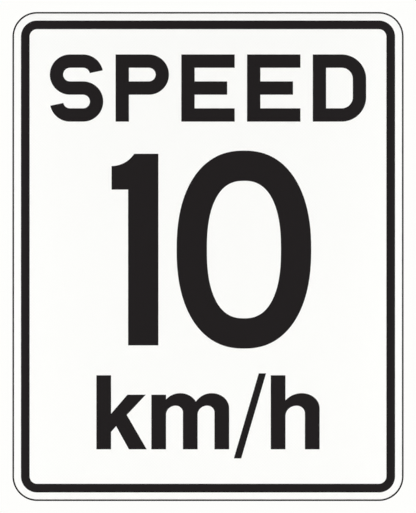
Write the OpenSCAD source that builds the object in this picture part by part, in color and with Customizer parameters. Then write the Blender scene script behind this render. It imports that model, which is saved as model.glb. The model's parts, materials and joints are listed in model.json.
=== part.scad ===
// Road sign panel with two channel rails on its back and two-part clamps for a round post.
// Millimetres. +Z is up and the face looks along -Y.
// The origin lies on the post's axis, midway between the two clamps and level with the panel's centre.

/* [Panel] */
// Width of the panel
panel_w = 600; // [450:10:900]
// Height of the panel
panel_h = 750; // [600:10:1200]
// Radius of the panel's corners
corner_r = 38; // [30:1:60]
// Thickness of the aluminium blank
blank_t = 3.2; // [1.6:0.1:5]
// Thickness of the reflective sheeting
sheeting_t = 0.4; // [0.2:0.05:0.8]
// Distance of the sheeting's cut edge from the blank's edge
sheeting_setback = 0.1; // [0:0.1:1]

/* [Lines] */
// Thickness of the black film
film_t = 0.15; // [0.1:0.05:0.3]
// Width of the fine line at the edge
edge_line_w = 2.4; // [1:0.1:3]
// Distance from the panel's edge to the border
border_margin = 13.2; // [8:0.1:16]
// Width of the border
border_w = 13.2; // [8:0.1:16]

/* [Word] */
// Height of the capital letters
word_h = 103; // [80:1:125]
// Stroke of the capital letters
word_stroke = 20.4; // [12:0.2:22]
// Space between the border and the word, on each side
word_side_gap = 31.1; // [20:0.1:60]
// Space between two letters
word_gap = 19; // [15:1:40]
// Height of the word's middle above the panel's centre
word_z = 258.3; // [240:0.1:265]

/* [Number] */
// Height of the digit one
number_h = 293.8; // [240:0.1:355]
// Stroke of the digits
number_stroke = 46.4; // [35:0.1:50]
// Width of the digit one
one_w = 71.8; // [60:0.1:90]
// Width of the digit zero
zero_w = 206.4; // [160:0.1:250]
// Space between the digits
number_gap = 28; // [20:0.1:40]
// How far the zero stands past the one, above and below
zero_overshoot = 4.9; // [0:0.1:8]
// Height of the number's middle above the panel's centre
number_z = 10.6; // [0:0.1:20]
// Shift of the number to the right, because the one is the lighter digit
number_shift = 5.2; // [0:0.1:10]

/* [Unit] */
// Height of the tall lower-case letters
unit_h = 113.5; // [95:0.1:135]
// Height of the low lower-case letters
unit_low_h = 83.7; // [70:0.1:95]
// Stroke of the unit's letters
unit_stroke = 22.5; // [16:0.1:26]
// Space between two characters of the unit
unit_gap = 7.2; // [5:0.1:12]
// Height of the unit's middle above the panel's centre
unit_z = -238.9; // [-250:0.1:-225]

/* [Rails] */
// Distance between the two rails
rail_spacing = 450; // [300:10:540]
// Distance from the panel's edge to the end of a rail
rail_end_gap = 20; // [10:1:60]
// Width of the rail's base
rail_flange_w = 44; // [40:1:60]
// Thickness of the rail's base
rail_base_t = 2.5; // [2:0.1:4]
// Thickness of the rail's walls
rail_wall_t = 2.4; // [2:0.1:4]
// Thickness of the rail's lips
rail_lip_t = 2.5; // [2:0.1:4]
// Width of one strip of bonding tape
tape_w = 18; // [12:0.5:18.5]
// Thickness of the bonding tape
tape_t = 1.1; // [0.6:0.1:2]
// Thickness of an end cap's cover
cap_t = 2.5; // [1.5:0.1:4]
// Length of an end cap's tongue in the rail
cap_tongue_l = 12; // [8:1:20]

/* [Clamps] */
// Outside diameter of the post
post_d = 60.3; // [48:0.1:76.1]
// Length of a clamp along the post
clamp_h = 36; // [30:1:50]
// Metal between the rail and the post
saddle_seat_t = 8; // [7:0.5:12]
// Thickness of the saddle's foot
saddle_foot_t = 6; // [5:0.5:10]
// Thickness of the saddle's cradle
cradle_t = 5; // [4:0.5:8]
// How far the cradle wraps the post, to each side
cradle_angle = 60; // [45:1:65]
// Thickness of the saddle's upright webs
web_t = 4; // [3:0.5:6]
// Thickness of the jaw's wall round the post
jaw_t = 4.5; // [3.5:0.1:7]
// Thickness of the jaw's flanges
jaw_flange_t = 6; // [4:0.5:9]
// How far the jaw's legs reach past the post's axis
jaw_leg = 8; // [6:0.5:10]
// Metal from the bolt's axis to the clamp's end
bolt_edge = 12; // [10:0.5:16]

/* [Fasteners] */
// Diameter of the bolts
bolt_d = 8; // [6:0.5:10]
// Length of the bolts under the head
bolt_l = 65; // [60:5:90]
// Width of the hexagons across their flats
hex_af = 13; // [12.5:0.5:17]
// Height of the bolt's head
head_h = 5.3; // [4:0.1:7]
// Height of the nut
nut_h = 6.5; // [5:0.1:8]
// Outside diameter of the flat washer
washer_d = 16; // [15:0.5:20]
// Thickness of the flat washer
washer_t = 1.6; // [1:0.1:2.5]
// Outside diameter of the spring washer
spring_d = 14.8; // [13.5:0.1:18]
// Thickness of the spring washer
spring_t = 2; // [1.5:0.1:2.6]

/* [Clearances] */
// Play of the bolt's head between the rail's walls, on each side
head_side_play = 0.3; // [0.2:0.05:0.6]
// Play of the bolt's head above the rail's base
head_depth_play = 1.7; // [0.5:0.1:3]
// How much wider the rail's slot is than the bolt
slot_play = 1.2; // [0.6:0.1:2]
// How much wider the clamp's bolt holes are than the bolt
hole_play = 1; // [0.5:0.1:2]
// How much wider the washers' holes are than the bolt
washer_play = 0.4; // [0.2:0.1:1]
// How much wider the nut's bore is than the bolt
thread_play = 0.1; // [0.05:0.01:0.2]
// Space between the jaw's straight legs and the post
leg_play = 0.25; // [0.2:0.05:0.5]
// Space between the flat washer and the jaw's wall
washer_gap = 3.4; // [2:0.1:6]
// Space round an end cap's tongue
cap_play = 0.1; // [0.05:0.05:0.3]

/* [Hidden] */
$fn = 64;

UP = 1;
DOWN = -1;
LEFT = -1;
RIGHT = 1;
CUT = 1; // how far a cutting shape runs past what it cuts
HAIR = 0.01; // an overlap that keeps two surfaces from lying in one place
MIN_CORNER = 1;

WHITE = [0.99, 0.99, 0.98];
BLACK = [0.14, 0.12, 0.13];
ALUMINIUM = [0.80, 0.81, 0.82];
ZINC = [0.72, 0.73, 0.72];
TAPE_GREY = [0.25, 0.26, 0.27];
CAP_BLACK = [0.08, 0.08, 0.09];

// Depths, counted along Y from the post's axis towards the face
post_r = post_d / 2;
rail_depth = rail_base_t + head_h + head_depth_play + rail_lip_t;
rail_back_y = -(post_r + saddle_seat_t);
rail_front_y = rail_back_y - rail_depth;
blank_back_y = rail_front_y - tape_t;
blank_front_y = blank_back_y - blank_t;
face_y = blank_front_y - sheeting_t;
rail_z = rail_spacing / 2;

// The legend's sizes are drawn for a panel of this size and follow it when it changes
DRAWN_W = 600;
DRAWN_H = 750;
k = min(panel_w / DRAWN_W, panel_h / DRAWN_H);
word_letters = 5;
word_w = k * (DRAWN_W - 2 * (border_margin + border_w + word_side_gap));
letter_gap = k * word_gap;
letter_w = (word_w - (word_letters - 1) * letter_gap) / word_letters;
letter_h = k * word_h;
letter_t = k * word_stroke;
unit_low = k * unit_low_h;
unit_t = k * unit_stroke;
unit_space = k * unit_gap;

// Widths of the unit's characters
m_counter = k * 25.9;
h_counter = k * 29.9;
k_width = k * 77.1;
m_width = 3 * unit_t + 2 * m_counter;
slash_w = k * 11.2;
slash_lean = k * 38.2;
slash_reach = k * 14;
slash_rise = k * 3;
slash_width = slash_w + slash_lean;
h_width = 2 * unit_t + h_counter;
unit_width = k_width + m_width + slash_width + h_width + 3 * unit_space;
arch_rise = k * 2.4;      // how far an arch stands above the low letters
arch_top_t = k * 19.2;    // an arch's thickness at its crown
arch_shoulder = k * 23;   // height of an arch's right shoulder
arch_lap = k * 4;         // how far an arch's left shoulder runs on into its stem

// Rail and clamp sizes that follow the fasteners and the post
rail_len = panel_w - 2 * rail_end_gap;
cavity_w = hex_af + 2 * head_side_play;
cavity_d = head_h + head_depth_play;
slot_w = bolt_d + slot_play;
channel_w = cavity_w + 2 * rail_wall_t;
rail_fillet = 1.5;
tape_edge_gap = 1.5;
bolt_x = post_r + jaw_t + washer_d / 2 + washer_gap;
clamp_half_w = bolt_x + bolt_edge;
clamp_hole_d = bolt_d + hole_play;
jaw_front_y = -jaw_leg;
jaw_back_y = jaw_front_y + jaw_flange_t;
clamp_corner = 2;
fillet_clearance = 0.4; // from the jaw's fillet to the flat washer
spring_split = 1.5;
spring_split_deg = 35;
HEX_CHAMFER = 0.95; // width of a hexagon's chamfer circle, as a share of its flats
CHAMFER_DEG = 30;

// ---- Flat shapes ----

module rounded_rect(w, h, r) {
    square([w - 2 * r, h], center = true);
    square([w, h - 2 * r], center = true);
    for (x = [LEFT, RIGHT], y = [DOWN, UP])
        translate([x * (w / 2 - r), y * (h / 2 - r)]) circle(r);
}

// The panel's outline, drawn in from its edge
module outline(inset) {
    rounded_rect(panel_w - 2 * inset, panel_h - 2 * inset, max(corner_r - inset, MIN_CORNER));
}

module line_round_panel(outer_inset, width) {
    difference() {
        outline(outer_inset);
        outline(outer_inset + width);
    }
}

// The material a fillet adds in the corner at (x, y), on the side that sx and sy point to
module fillet(x, y, sx, sy, r) {
    difference() {
        translate([x + sx * (r - CUT) / 2, y + sy * (r - CUT) / 2]) square(r + CUT, center = true);
        translate([x + sx * r, y + sy * r]) circle(r);
    }
}

// Part of a ring, from one angle to another, at most half a turn
module ring_part(r, t, from, to) {
    reach = 2 * r;
    middle = (from + to) / 2;
    intersection() {
        difference() {
            circle(r);
            circle(r - t);
        }
        polygon([
            [0, 0],
            reach * [cos(from), sin(from)],
            reach * [cos((from + middle) / 2), sin((from + middle) / 2)],
            reach * [cos(middle), sin(middle)],
            reach * [cos((to + middle) / 2), sin((to + middle) / 2)],
            reach * [cos(to), sin(to)]
        ]);
    }
}

function superellipse(rx, ry, power, steps = 120) = [
    for (i = [0 : steps - 1])
        let (a = 360 * i / steps, c = cos(a), s = sin(a))
            [sign(c) * rx * pow(abs(c), 2 / power), sign(s) * ry * pow(abs(s), 2 / power)]
];

function ellipse_arc(cx, cy, rx, ry, from, to, steps = 12) = [
    for (i = [0 : steps])
        let (a = from + (to - from) * i / steps)
            [cx + rx * cos(a), cy + ry * sin(a)]
];

// ---- Characters, with their lower left corner at the origin ----

module glyph_s(w, h, t) {
    r = (h + t) / 4;
    terminal = 12;
    translate([r, h - r]) ring_part(r, t, 90, 270);
    translate([w - r, h - r]) ring_part(r, t, terminal, 90);
    translate([w - r, r]) ring_part(r, t, -90, 90);
    translate([r, r]) ring_part(r, t, 180 + terminal, 270);
    for (y = [0, (h - t) / 2, h - t])
        translate([r, y]) square([w - 2 * r, t]);
}

module glyph_p(w, h, t) {
    r = (h + t) / 4;
    square([t, h]);
    translate([w - r, h - r]) ring_part(r, t, -90, 90);
    for (y = [h - 2 * r, h - t])
        translate([0, y]) square([w - r, t]);
}

module glyph_e(w, h, t) {
    middle_bar = 0.86;
    square([t, h]);
    for (y = [0, h - t])
        translate([0, y]) square([w, t]);
    translate([0, (h - t) / 2]) square([middle_bar * w, t]);
}

module glyph_d(w, h, t) {
    r = 0.46 * w;
    square([t, h]);
    for (y = [0, h - t])
        translate([0, y]) square([w - r, t]);
    translate([w - t, r]) square([t, h - 2 * r]);
    translate([w - r, h - r]) ring_part(r, t, 0, 90);
    translate([w - r, r]) ring_part(r, t, 270, 360);
}

module glyph_one(w, h, t) {
    flag_h = 0.187 * h;
    flag_drop = 0.064 * h;
    flag_run = w - 0.8 * t;
    hollow_r = (flag_run * flag_run + flag_drop * flag_drop) / (2 * flag_drop);
    difference() {
        union() {
            translate([w - t, 0]) square([t, h]);
            translate([0, h - flag_h]) square([w, flag_h]);
        }
        translate([0, h - flag_drop + hollow_r]) circle(hollow_r);
    }
}

module glyph_zero(w, h, t) {
    outer_power = 2.28;
    inner_power = 2.42;
    translate([w / 2, h / 2]) difference() {
        polygon(superellipse(w / 2, h / 2, outer_power));
        polygon(superellipse(w / 2 - t, h / 2 - t, inner_power));
    }
}

module glyph_k(w, tall, low, t) {
    square([t, tall]);
    polygon([
        [t / 2, 0.318 * low], [t, 0.318 * low], [0.392 * w, 0.425 * low], [0.647 * w, 0], [w, 0],
        [0.604 * w, 0.63 * low], [0.982 * w, low], [0.618 * w, low], [t, 0.651 * low],
        [t / 2, 0.651 * low]
    ]);
}

// An arch that springs from a stem's right side and ends in a stem of its own. Its left shoulder is
// an arc of a circle. Its right shoulder and the two halves of its hollow are quarters of ellipses.
module arch(counter, crown, t) {
    crown_x = 0.84 * counter;
    left_r = 1.35 * crown_x;
    left_end = 180 - acos((crown_x + arch_lap) / left_r);
    hollow_x = 0.57 * counter;
    hollow_y = crown - arch_top_t;
    hollow_left = 0.53 * counter;
    hollow_right = 0.39 * counter;
    polygon([
        [counter, 0],
        [counter + t, 0],
        each ellipse_arc(crown_x, crown - arch_shoulder, counter + t - crown_x, arch_shoulder, 0, 90),
        each ellipse_arc(crown_x, crown - left_r, left_r, left_r, 92, left_end),
        [-arch_lap, hollow_y - hollow_left],
        each ellipse_arc(hollow_x, hollow_y - hollow_left, hollow_x, hollow_left, 180, 90),
        each ellipse_arc(hollow_x, hollow_y - hollow_right, counter - hollow_x, hollow_right, 88, 0)
    ]);
}

module glyph_m(low, t) {
    square([t, low]);
    for (x = [t, 2 * t + m_counter])
        translate([x, 0]) arch(m_counter, low + arch_rise, t);
}

module glyph_h(tall, low, t) {
    square([t, tall]);
    translate([t, 0]) arch(h_counter, low + arch_rise, t);
}

module glyph_slash(tall) {
    bottom = -slash_reach;
    top = tall + slash_rise;
    polygon([
        [0, bottom], [slash_w, bottom], [slash_w + slash_lean, top], [slash_lean, top]
    ]);
}

// ---- Placing ----

// A flat shape as a sheet whose back lies on the plane y and whose front faces -Y
module on_face(y, t) {
    translate([0, y, 0]) rotate([90, 0, 0]) linear_extrude(height = t) children();
}

module film(x, z) {
    color(BLACK) on_face(face_y, film_t) translate([x, z]) children();
}

// A shape drawn upwards along Z, turned to run along +Y from the plane y
module along_y(x, y, z) {
    translate([x, y, z]) rotate([-90, 0, 0]) children();
}

// A section drawn with X as depth and Y as height, run along X about the origin
module along_x(length) {
    translate([-length / 2, 0, 0]) rotate([90, 0, 90]) linear_extrude(height = length) children();
}

// ---- Face ----

module blank() {
    color(ALUMINIUM) on_face(blank_back_y, blank_t) outline(0);
}

module sheeting() {
    color(WHITE) on_face(blank_front_y, sheeting_t) outline(sheeting_setback);
}

module edge_line() {
    film(0, 0) line_round_panel(sheeting_setback, edge_line_w);
}

module border() {
    film(0, 0) line_round_panel(border_margin, border_w);
}

module word_letter(place) {
    film(-word_w / 2 + place * (letter_w + letter_gap), k * word_z - letter_h / 2) children();
}

module letter_s() { word_letter(0) glyph_s(letter_w, letter_h, letter_t); }
module letter_p() { word_letter(1) glyph_p(letter_w, letter_h, letter_t); }
module letter_e_first() { word_letter(2) glyph_e(letter_w, letter_h, letter_t); }
module letter_e_second() { word_letter(3) glyph_e(letter_w, letter_h, letter_t); }
module letter_d() { word_letter(4) glyph_d(letter_w, letter_h, letter_t); }

number_left = k * (number_shift - (one_w + number_gap + zero_w) / 2);
number_bottom = k * (number_z - number_h / 2);

module digit_one() {
    film(number_left, number_bottom) glyph_one(k * one_w, k * number_h, k * number_stroke);
}

module digit_zero() {
    film(number_left + k * (one_w + number_gap), number_bottom - k * zero_overshoot)
        glyph_zero(k * zero_w, k * (number_h + 2 * zero_overshoot), k * number_stroke);
}

unit_left = -unit_width / 2;
unit_bottom = k * (unit_z - unit_h / 2);

module unit_k() {
    film(unit_left, unit_bottom) glyph_k(k_width, k * unit_h, unit_low, unit_t);
}

module unit_m() {
    film(unit_left + k_width + unit_space, unit_bottom) glyph_m(unit_low, unit_t);
}

module unit_slash() {
    film(unit_left + k_width + m_width + 2 * unit_space, unit_bottom) glyph_slash(k * unit_h);
}

module unit_h_letter() {
    film(unit_left + unit_width - h_width, unit_bottom) glyph_h(k * unit_h, unit_low, unit_t);
}

// ---- Rails ----

// The rail's outer section without its hollow: depth from the rail's front face, and height
module rail_outline() {
    translate([0, -rail_flange_w / 2]) square([rail_base_t, rail_flange_w]);
    translate([0, -channel_w / 2]) square([rail_depth, channel_w]);
    for (side = [DOWN, UP])
        fillet(rail_base_t, side * channel_w / 2, RIGHT, side, rail_fillet);
}

module rail(side) {
    color(ALUMINIUM) translate([0, rail_front_y, side * rail_z]) along_x(rail_len) difference() {
        rail_outline();
        translate([rail_base_t, -cavity_w / 2]) square([cavity_d, cavity_w]);
        translate([rail_base_t, -slot_w / 2]) square([rail_depth, slot_w]);
    }
}

module tapes(side) {
    color(TAPE_GREY) for (strip = [DOWN, UP]) {
        strip_z = strip * (rail_flange_w / 2 - tape_edge_gap - tape_w / 2);
        translate([-rail_len / 2, blank_back_y, side * rail_z + strip_z - tape_w / 2])
            cube([rail_len, tape_t, tape_w]);
    }
}

module end_caps(side) {
    color(CAP_BLACK) for (end = [LEFT, RIGHT]) {
        translate([end * (rail_len + cap_t) / 2, rail_front_y, side * rail_z])
            along_x(cap_t) rail_outline();
        translate([end * (rail_len - cap_tongue_l) / 2, rail_front_y + rail_base_t, side * rail_z])
            along_x(cap_tongue_l)
                translate([cap_play, -cavity_w / 2 + cap_play])
                    square([cavity_d - 2 * cap_play, cavity_w - 2 * cap_play]);
    }
}

// ---- Clamps ----

module clamp_slice(side) {
    translate([0, 0, side * rail_z - clamp_h / 2]) linear_extrude(height = clamp_h) children();
}

module clamp_bolt_holes(side, y, length) {
    for (x = [-bolt_x, bolt_x])
        along_y(x, y - CUT, side * rail_z) cylinder(d = clamp_hole_d, h = length + 2 * CUT);
}

// A bar across the clamp with round outer corners, from the plane y towards +Y
module clamp_bar(y, t) {
    translate([-clamp_half_w, y]) square([2 * clamp_half_w, t - clamp_corner]);
    translate([-clamp_half_w + clamp_corner, y]) square([2 * (clamp_half_w - clamp_corner), t]);
    for (x = [LEFT, RIGHT])
        translate([x * (clamp_half_w - clamp_corner), y + t - clamp_corner]) circle(clamp_corner);
}

module saddle(side) {
    cradle_r = post_r + cradle_t;
    horn_x = cradle_r * sin(cradle_angle);
    horn_y = -cradle_r * cos(cradle_angle);
    horn_middle = post_r + cradle_t / 2;
    web_inset = 1; // from the cradle's end to the web's outer face
    color(ALUMINIUM) difference() {
        clamp_slice(side) {
            difference() {
                clamp_bar(rail_back_y, saddle_foot_t);
                circle(post_r);
            }
            ring_part(cradle_r, cradle_t, 270 - cradle_angle, 270 + cradle_angle);
            for (x = [LEFT, RIGHT]) {
                translate([x * (horn_x - web_inset - web_t / 2) - web_t / 2, rail_back_y])
                    square([web_t, horn_y - rail_back_y]);
                translate([x * horn_middle * sin(cradle_angle), -horn_middle * cos(cradle_angle)])
                    circle(cradle_t / 2);
            }
        }
        clamp_bolt_holes(side, rail_back_y, saddle_foot_t);
    }
}

module jaw(side) {
    jaw_r = post_r + jaw_t;
    jaw_fillet = washer_gap - fillet_clearance;
    color(ALUMINIUM) difference() {
        clamp_slice(side) {
            ring_part(jaw_r, jaw_t, 0, 180);
            difference() {
                union() {
                    clamp_bar(jaw_front_y, jaw_flange_t);
                    translate([-jaw_r, jaw_front_y]) square([2 * jaw_r, jaw_leg + CUT]);
                    for (x = [LEFT, RIGHT])
                        fillet(x * jaw_r, jaw_back_y, x, UP, jaw_fillet);
                }
                translate([-post_r - leg_play, jaw_front_y - CUT])
                    square([2 * (post_r + leg_play), jaw_leg + CUT]);
                translate([-post_r, -CUT]) square([2 * post_r, jaw_fillet + 2 * CUT]);
            }
        }
        clamp_bolt_holes(side, jaw_front_y, jaw_flange_t);
    }
}

// ---- Fasteners ----

// A hexagon with both ends chamfered, standing on the plane z = 0, with a flat facing Y
module hexagon(af, h) {
    corner = af / 2 / cos(30);
    flat_r = HEX_CHAMFER * af / 2;
    drop = (corner - flat_r) * tan(CHAMFER_DEG);
    intersection() {
        cylinder(r = corner, h = h, $fn = 6);
        rotate_extrude() polygon([
            [0, 0], [flat_r, 0], [corner + HAIR, drop],
            [corner + HAIR, h - drop], [flat_r, h], [0, h]
        ]);
    }
}

module bolts(side) {
    tip = bolt_d / 10;
    head_y = rail_back_y - rail_lip_t;
    color(ZINC) for (x = [-bolt_x, bolt_x]) {
        along_y(x, head_y - head_h, side * rail_z) hexagon(hex_af, head_h);
        along_y(x, head_y - CUT, side * rail_z) rotate_extrude() polygon([
            [0, 0], [bolt_d / 2, 0], [bolt_d / 2, bolt_l + CUT - tip],
            [bolt_d / 2 - tip, bolt_l + CUT], [0, bolt_l + CUT]
        ]);
    }
}

module ring(d, bore, t) {
    difference() {
        cylinder(d = d, h = t);
        translate([0, 0, -CUT]) cylinder(d = bore, h = t + 2 * CUT);
    }
}

module flat_washers(side) {
    color(ZINC) for (x = [-bolt_x, bolt_x])
        along_y(x, jaw_back_y, side * rail_z) ring(washer_d, bolt_d + washer_play, washer_t);
}

module spring_washers(side) {
    color(ZINC) for (x = [-bolt_x, bolt_x])
        along_y(x, jaw_back_y + washer_t, side * rail_z) difference() {
            ring(spring_d, bolt_d + washer_play, spring_t);
            rotate([0, 0, spring_split_deg]) translate([0, -spring_split / 2, -CUT])
                cube([spring_d, spring_split, spring_t + 2 * CUT]);
        }
}

module nut(side, x) {
    color(ZINC) along_y(x * bolt_x, jaw_back_y + washer_t + spring_t, side * rail_z) difference() {
        hexagon(hex_af, nut_h);
        translate([0, 0, -CUT]) cylinder(d = bolt_d + thread_play, h = nut_h + 2 * CUT);
    }
}

// ---- Nodes ----

blank();
sheeting();
edge_line();
border();
letter_s();
letter_p();
letter_e_first();
letter_e_second();
letter_d();
digit_one();
digit_zero();
unit_k();
unit_m();
unit_slash();
unit_h_letter();
rail(UP);  // upper_rail
rail(DOWN);  // lower_rail
tapes(UP);  // upper_tapes
tapes(DOWN);  // lower_tapes
end_caps(UP);  // upper_end_caps
end_caps(DOWN);  // lower_end_caps
saddle(UP);  // upper_saddle
saddle(DOWN);  // lower_saddle
bolts(UP);  // upper_bolts
bolts(DOWN);  // lower_bolts
jaw(UP);  // upper_jaw
jaw(DOWN);  // lower_jaw
flat_washers(UP);  // upper_flat_washers
flat_washers(DOWN);  // lower_flat_washers
spring_washers(UP);  // upper_spring_washers
spring_washers(DOWN);  // lower_spring_washers
nut(UP, LEFT);  // upper_nut_left
nut(UP, RIGHT);  // upper_nut_right
nut(DOWN, LEFT);  // lower_nut_left
nut(DOWN, RIGHT);  // lower_nut_right
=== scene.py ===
"""Road sign panel with channel rails and post clamps: its fine shapes, finishes and studio.

Every piece is made in metres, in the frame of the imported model: +Z is up, the face looks along -Y,
and the origin lies on the post's axis, midway between the clamps.
"""

import json
import math

import bmesh
import bpy
from bpy.props import FloatProperty, FloatVectorProperty, IntProperty, PointerProperty
from mathutils import Matrix, Vector
from mathutils.geometry import tessellate_polygon


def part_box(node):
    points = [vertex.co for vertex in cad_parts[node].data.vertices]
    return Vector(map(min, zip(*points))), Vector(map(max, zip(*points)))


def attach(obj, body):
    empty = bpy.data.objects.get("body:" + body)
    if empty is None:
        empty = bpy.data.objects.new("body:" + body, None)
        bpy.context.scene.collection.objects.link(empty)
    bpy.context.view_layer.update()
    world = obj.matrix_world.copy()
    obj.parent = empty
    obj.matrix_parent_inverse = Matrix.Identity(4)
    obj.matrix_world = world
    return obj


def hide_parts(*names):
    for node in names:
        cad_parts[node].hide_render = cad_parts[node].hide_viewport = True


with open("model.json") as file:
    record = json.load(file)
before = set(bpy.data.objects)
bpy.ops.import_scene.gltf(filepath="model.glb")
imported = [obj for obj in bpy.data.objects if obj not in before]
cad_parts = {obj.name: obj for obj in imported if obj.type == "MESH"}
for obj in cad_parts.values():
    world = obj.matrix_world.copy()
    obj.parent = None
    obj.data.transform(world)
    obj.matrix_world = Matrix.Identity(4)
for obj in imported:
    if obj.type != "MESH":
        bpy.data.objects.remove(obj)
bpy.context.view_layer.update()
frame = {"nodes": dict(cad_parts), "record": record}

bl_info = {
    "name": "Sign Panel and Clamps",
    "version": (1, 0, 0),
    "blender": (4, 5, 0),
    "location": "3D View > Sidebar > Sign",
    "description": "Makes the plate, legend, rails, clamps and fasteners of a road sign",
    "category": "Object",
}

MM = 0.001
SIDES = ("upper", "lower")
ENDS = ("left", "right")
POST_RADIUS = frame["record"]["mounts"][0]["dims"]["r_mm"] * MM

WELD = 1e-7  # points closer than this are one point
SHARP = math.radians(32)  # edges that turn by more are sharp
SQUARE_END = [(0, 0)]

# The columns are the ways that a section's x, a section's y and its length point
ALONG_Z = Matrix(((1, 0, 0), (0, 1, 0), (0, 0, 1)))
ALONG_X = Matrix(((0, 0, 1), (1, 0, 0), (0, 1, 0)))
TO_FACE = Matrix(((1, 0, 0), (0, 0, -1), (0, 1, 0)))

LEGEND_NODES = (
    "letter_s", "letter_p", "letter_e_first", "letter_e_second", "letter_d",
    "digit_one", "digit_zero", "unit_k", "unit_m", "unit_slash", "unit_h_letter",
)


# ---------------- sizes and colours


def length(name, description, millimetres):
    """A length that a user can change, kept in metres."""
    return FloatProperty(name=name, description=description, default=millimetres * MM, min=0,
                         precision=5, unit="LENGTH", subtype="DISTANCE")


def number(name, description, default, unit="NONE"):
    """A number from 0 up that a user can change."""
    return FloatProperty(name=name, description=description, default=default, min=0, unit=unit)


def colour(name, description, red, green, blue):
    """A colour that a user can change."""
    return FloatVectorProperty(name=name, description=description, default=(red, green, blue),
                               min=0, max=1, size=3, subtype="COLOR")


class PlateSettings(bpy.types.PropertyGroup):
    """Sizes and colours of the plate, its sheeting and its legend."""

    corner: length("Corner radius", "Radius of the plate's corners", 38)
    edge: length("Deburred edge", "Rounding of the plate's cut edges", 0.35)
    film_edge: length("Film edge", "Rounding of the edges of sheeting and film", 0.03)
    # The edge line is painted shade: a thin black film ring that stands for the shaded outline of
    # the plate's edge
    line_width: length("Edge line", "Width of the fine line at the edge", 2.4)
    border_width: length("Border", "Width of the border", 13.2)
    cell: length("Cell pitch", "Distance between the ribs of the sheeting's cells", 3.4)
    white: colour("Sheeting", "Colour of the reflective sheeting", 0.915, 0.915, 0.898)
    black: colour("Film", "Colour of the legend's film", 0.0062, 0.0042, 0.0046)
    metal: colour("Blank", "Colour of the plate's bare back", 0.80, 0.81, 0.82)


class RailSettings(bpy.types.PropertyGroup):
    """Sizes and colours of the rails, their bonding tape and their end caps."""

    base: length("Base", "Thickness of the rail's base", 2.5)
    lip: length("Lip", "Thickness of the rail's lips", 2.5)
    wall: length("Wall", "Thickness of the rail's walls", 2.4)
    cavity: length("Cavity", "Width of the channel behind the lips", 13.6)
    slot: length("Slot", "Width of the slot between the lips", 9.2)
    fillet: length("Fillet", "Radius between the base and the walls", 1.5)
    groove: length("Marking groove", "Depth of the grooves that mark the drilling lines", 0.35)
    sawn_edge: length("Sawn edge", "Rounding of the sawn edges", 0.15)
    cover: length("Cap cover", "Thickness of an end cap's cover", 2.5)
    tongue: length("Cap tongue", "How far an end cap's tongue reaches into the channel", 12)
    play: length("Tongue play", "Space between the tongue and the channel", 0.1)
    metal: colour("Extrusion", "Colour of the extruded aluminium", 0.70, 0.71, 0.72)
    tape: colour("Tape", "Colour of the bonding tape", 0.045, 0.047, 0.05)
    plastic: colour("Cap", "Colour of the end caps", 0.016, 0.016, 0.017)


class ClampSettings(bpy.types.PropertyGroup):
    """Sizes and colours of the saddles and jaws."""

    foot: length("Foot", "Thickness of the saddle's foot", 6)
    cradle: length("Cradle", "Thickness of the saddle's cradle", 5)
    wrap: IntProperty(name="Wrap", description="Degrees that the cradle wraps the post, each side",
                      default=60, min=45, max=65)
    web: length("Web", "Thickness of the saddle's webs", 4)
    web_inset: length("Web inset", "From the cradle's end to the web's outer face", 1)
    jaw: length("Jaw", "Thickness of the jaw round the post", 4.5)
    leg: length("Leg", "How far the jaw's legs reach past the post's axis", 8)
    leg_play: length("Leg play", "Space between the jaw's legs and the post", 0.25)
    flange: length("Flange", "Thickness of the jaw's flanges", 6)
    jaw_fillet: length("Jaw fillet", "Radius between the jaw's wall and its flanges", 3)
    corner: length("Corner", "Radius of the clamp's outer corners", 2)
    hole: length("Bolt hole", "Diameter of the bolt holes", 9)
    hole_chamfer: length("Hole chamfer", "Chamfer of the bolt holes", 0.4)
    tooth: length("Tooth pitch", "Distance between two gripping teeth", 1.6)
    tooth_depth: length("Tooth depth", "Depth of the grooves between the gripping teeth", 0.45)
    sawn_edge: length("Sawn edge", "Rounding of the sawn edges", 0.25)
    metal: colour("Extrusion", "Colour of the clamps' aluminium", 0.64, 0.65, 0.655)


class FastenerSettings(bpy.types.PropertyGroup):
    """Sizes and colours of the bolts, nuts and washers."""

    thread: length("Thread", "Outside diameter of the thread", 8)
    pitch: length("Pitch", "Pitch of the thread", 1.25)
    head: length("Head", "Height of a bolt's head", 5.3)
    nut_bore: length("Nut bore", "Diameter of a nut's bore", 8.06)
    washer_bore: length("Washer bore", "Diameter of the washers' holes", 8.4)
    split: IntProperty(name="Split", description="Degrees left open in a spring washer", default=15,
                       min=5, max=30)
    hex_corner: length("Hexagon corner", "Rounding of the hexagons' upright edges", 0.35)
    zinc: colour("Zinc", "Colour of the zinc plating", 0.66, 0.67, 0.665)


class StudioSettings(bpy.types.PropertyGroup):
    """The camera, the light and the floor."""

    lens: number("Lens", "Focal length in millimetres", 85)
    sensor: number("Sensor", "Height of the camera's sensor in millimetres", 36)
    picture_height: length("Picture height", "What the picture's height spans at the face", 786.6)
    floor_drop: length("Floor", "Depth of the floor under the panel's centre", 1950)
    floor_radius: length("Floor radius", "Radius of the floor", 6500)
    horizon: number("Horizon", "Strength of the surround's light at eye level", 0.34)
    zenith: number("Zenith", "Strength of the surround's light from above", 0.62)
    key: number("Front light", "Power of each front light in watts", 59, "POWER")
    back: number("Back light", "Power of the main light behind in watts", 42, "POWER")
    top: number("Top light", "Power of the top light in watts", 40, "POWER")
    paper: colour("Background", "Colour behind the object", 0.991, 0.991, 0.973)
    floor: colour("Floor", "Colour of the floor", 0.80, 0.80, 0.79)


# ---------------- shader maths


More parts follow.
